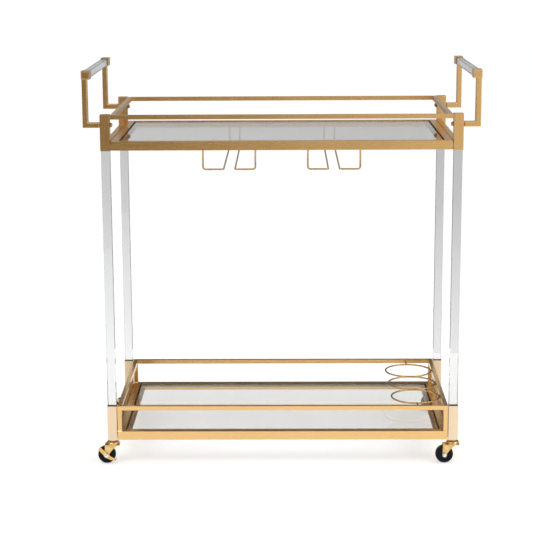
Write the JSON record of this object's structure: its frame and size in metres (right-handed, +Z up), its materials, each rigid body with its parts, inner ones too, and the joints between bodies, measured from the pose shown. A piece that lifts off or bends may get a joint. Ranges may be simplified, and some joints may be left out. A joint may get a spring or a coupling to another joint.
{
  "type": "bar cart",
  "caption": "Rolling bar cart with clear acrylic legs, gold tube frames, glass shelves, guard rails, stemware hangers, bottle rings and swivel casters.",
  "frame": {"origin": "on the floor under the middle of the cart", "axes": "+X to the cart's right along its length, front faces -Y, +Z up"},
  "size_m": [0.906, 0.446, 0.929],
  "materials": {
    "brushed_gold": "satin brushed gold plating on steel tube",
    "caster_gold": "gold zinc plating on pressed steel",
    "acrylic": "clear polished acrylic",
    "shelf_glass": "clear tempered glass with ground edges",
    "gasket": "matt black seal",
    "bolt_metal": "polished domed nut",
    "bright_metal": "bright nickel plate",
    "wheel_black": "moulded black tread"
  },
  "bodies": {
    "cart_frame": {"leg_post_front_left": "acrylic", "leg_post_front_right": "acrylic", "leg_post_back_left": "acrylic", "leg_post_back_right": "acrylic", "upper_sleeve_front_left": "brushed_gold", "upper_sleeve_front_right": "brushed_gold", "upper_sleeve_back_left": "brushed_gold", "upper_sleeve_back_right": "brushed_gold", "lower_sleeve_front_left": "brushed_gold", "lower_sleeve_front_right": "brushed_gold", "lower_sleeve_back_left": "brushed_gold", "lower_sleeve_back_right": "brushed_gold", "upper_side_bar_left": "brushed_gold", "upper_side_bar_right": "brushed_gold", "lower_side_bar_left": "brushed_gold", "lower_side_bar_right": "brushed_gold", "upper_tray_frame": "brushed_gold", "upper_glass_ledge": "brushed_gold", "upper_glass_gasket": "gasket", "upper_glass_shelf": "shelf_glass", "lower_tray_frame": "brushed_gold", "lower_glass_ledge": "brushed_gold", "lower_glass_gasket": "gasket", "lower_glass_shelf": "shelf_glass", "upper_guard_rail": "brushed_gold", "lower_guard_rail": "brushed_gold", "handle_arm_front_left": "brushed_gold", "handle_arm_front_right": "brushed_gold", "handle_arm_back_left": "brushed_gold", "handle_arm_back_right": "brushed_gold", "handle_bolt_front_left": "bolt_metal", "handle_bolt_front_right": "bolt_metal", "handle_bolt_back_left": "bolt_metal", "handle_bolt_back_right": "bolt_metal", "handle_grip_left": "acrylic", "handle_grip_right": "acrylic", "stem_hanger_1": "brushed_gold", "stem_hanger_2": "brushed_gold", "stem_hanger_3": "brushed_gold", "stem_hanger_4": "brushed_gold", "bottle_ring_rack": "brushed_gold", "caster_stem_front_left": "bright_metal", "caster_stem_front_right": "bright_metal", "caster_stem_back_left": "bright_metal", "caster_stem_back_right": "bright_metal"},
    "caster_front_left": {"caster_fork_front_left": "caster_gold", "caster_axle_front_left": "bright_metal"},
    "wheel_front_left": {"caster_wheel_front_left": "wheel_black"},
    "brake_front_left": {"brake_lever_front_left": "caster_gold"},
    "caster_front_right": {"caster_fork_front_right": "caster_gold", "caster_axle_front_right": "bright_metal"},
    "wheel_front_right": {"caster_wheel_front_right": "wheel_black"},
    "caster_back_left": {"caster_fork_back_left": "caster_gold", "caster_axle_back_left": "bright_metal"},
    "wheel_back_left": {"caster_wheel_back_left": "wheel_black"},
    "brake_back_left": {"brake_lever_back_left": "caster_gold"},
    "caster_back_right": {"caster_fork_back_right": "caster_gold", "caster_axle_back_right": "bright_metal"},
    "wheel_back_right": {"caster_wheel_back_right": "wheel_black"}
  },
  "joints": [
    {"name": "swivel_front_left", "type": "hinge", "parent": "cart_frame", "child": "caster_front_left", "pos_m": [-0.4025, -0.205, 0.05], "axis": [0, 0, 1], "continuous": true},
    {"name": "wheel_spin_front_left", "type": "hinge", "parent": "caster_front_left", "child": "wheel_front_left", "pos_m": [-0.4175, -0.205, 0.021], "axis": [0, 1, 0], "continuous": true},
    {"name": "brake_release_front_left", "type": "hinge", "parent": "caster_front_left", "child": "brake_front_left", "pos_m": [-0.4175, -0.205, 0.021], "axis": [0, -1, 0], "range_deg": [0, 25]},
    {"name": "swivel_front_right", "type": "hinge", "parent": "cart_frame", "child": "caster_front_right", "pos_m": [0.4025, -0.205, 0.05], "axis": [0, 0, 1], "continuous": true},
    {"name": "wheel_spin_front_right", "type": "hinge", "parent": "caster_front_right", "child": "wheel_front_right", "pos_m": [0.3835, -0.205, 0.021], "axis": [0, 1, 0], "continuous": true},
    {"name": "swivel_back_left", "type": "hinge", "parent": "cart_frame", "child": "caster_back_left", "pos_m": [-0.4025, 0.205, 0.05], "axis": [0, 0, 1], "continuous": true},
    {"name": "wheel_spin_back_left", "type": "hinge", "parent": "caster_back_left", "child": "wheel_back_left", "pos_m": [-0.4175, 0.205, 0.021], "axis": [0, 1, 0], "continuous": true},
    {"name": "brake_release_back_left", "type": "hinge", "parent": "caster_back_left", "child": "brake_back_left", "pos_m": [-0.4175, 0.205, 0.021], "axis": [0, -1, 0], "range_deg": [0, 25]},
    {"name": "swivel_back_right", "type": "hinge", "parent": "cart_frame", "child": "caster_back_right", "pos_m": [0.4025, 0.205, 0.05], "axis": [0, 0, 1], "continuous": true},
    {"name": "wheel_spin_back_right", "type": "hinge", "parent": "caster_back_right", "child": "wheel_back_right", "pos_m": [0.3835, 0.205, 0.021], "axis": [0, 1, 0], "continuous": true}
  ]
}
